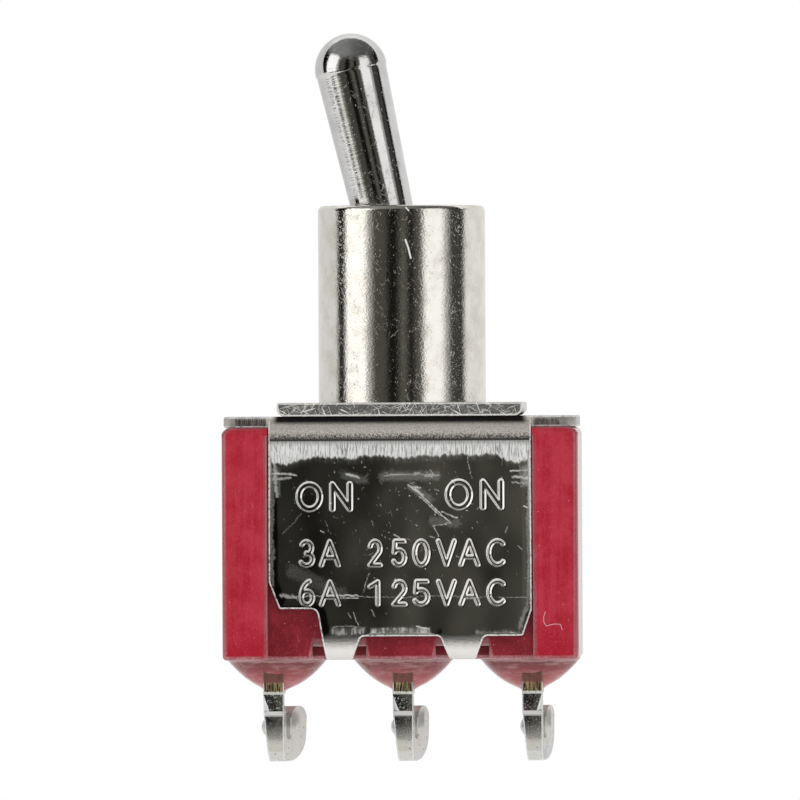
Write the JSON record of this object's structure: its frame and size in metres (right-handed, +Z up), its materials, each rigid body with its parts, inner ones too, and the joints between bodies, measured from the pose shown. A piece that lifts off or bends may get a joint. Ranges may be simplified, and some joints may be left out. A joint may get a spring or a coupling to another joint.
{
  "type": "toggle switch",
  "caption": "Miniature panel toggle switch: plated lever in a smooth flanged bushing, folded steel frame on a red moulded case, resin-sealed hook solder lugs in a row.",
  "frame": {"origin": "bushing axis at the top face of the flange, the plane of the panel's underside", "axes": "+X along the row of lugs, to the right as seen from the lettered front, +Y to the back, +Z up the bushing"},
  "size_m": [0.013, 0.0068, 0.0264],
  "materials": {
    "lever_chrome": "bright plated brass",
    "bushing_nickel": "bright nickel plate with fine pits",
    "frame_steel": "bright plated sheet steel, scuffed, stamped lettering",
    "case_red": "semi-gloss moulded thermoset",
    "seal_resin": "glossy cast resin",
    "lug_tin": "bright tin plate on copper alloy",
    "contact_alloy": "plain rolled strip",
    "contact_silver": "silver",
    "spring_steel": "drawn wire",
    "nylon": "natural nylon"
  },
  "bodies": {
    "housing": {"bushing": "bushing_nickel", "frame": "frame_steel", "case": "case_red", "left_terminal": "lug_tin", "common_terminal": "lug_tin", "right_terminal": "lug_tin", "left_contact": "contact_silver", "right_contact": "contact_silver", "left_seal": "seal_resin", "common_seal": "seal_resin", "right_seal": "seal_resin"},
    "lever": {"toggle_lever": "lever_chrome", "pivot_pin": "spring_steel", "plunger_spring": "spring_steel"},
    "plunger": {"plunger": "nylon"},
    "rocker": {"rocker": "contact_alloy", "rocker_left_contact": "contact_silver", "rocker_right_contact": "contact_silver"}
  },
  "joints": [
    {"name": "lever_swing", "type": "hinge", "parent": "housing", "child": "lever", "pos_m": [0, 0, 0.0039], "axis": [0, 1, 0], "range_deg": [0, 24.8]},
    {"name": "plunger_slide", "type": "slide", "parent": "lever", "child": "plunger", "axis": [-0.2147, 0, 0.9767], "range_m": [0, 0.0004], "stiffness_N_per_m": 500, "springref_m": -0.0008, "deforming": ["plunger_spring"]},
    {"name": "rocker_rock", "type": "hinge", "parent": "housing", "child": "rocker", "pos_m": [0, 0, -0.00591], "axis": [0, 1, 0], "range_deg": [-16, 0]}
  ],
  "couplings": [
    {"joint": "rocker_rock", "follows": "lever_swing", "ratio": -0.645}
  ]
}
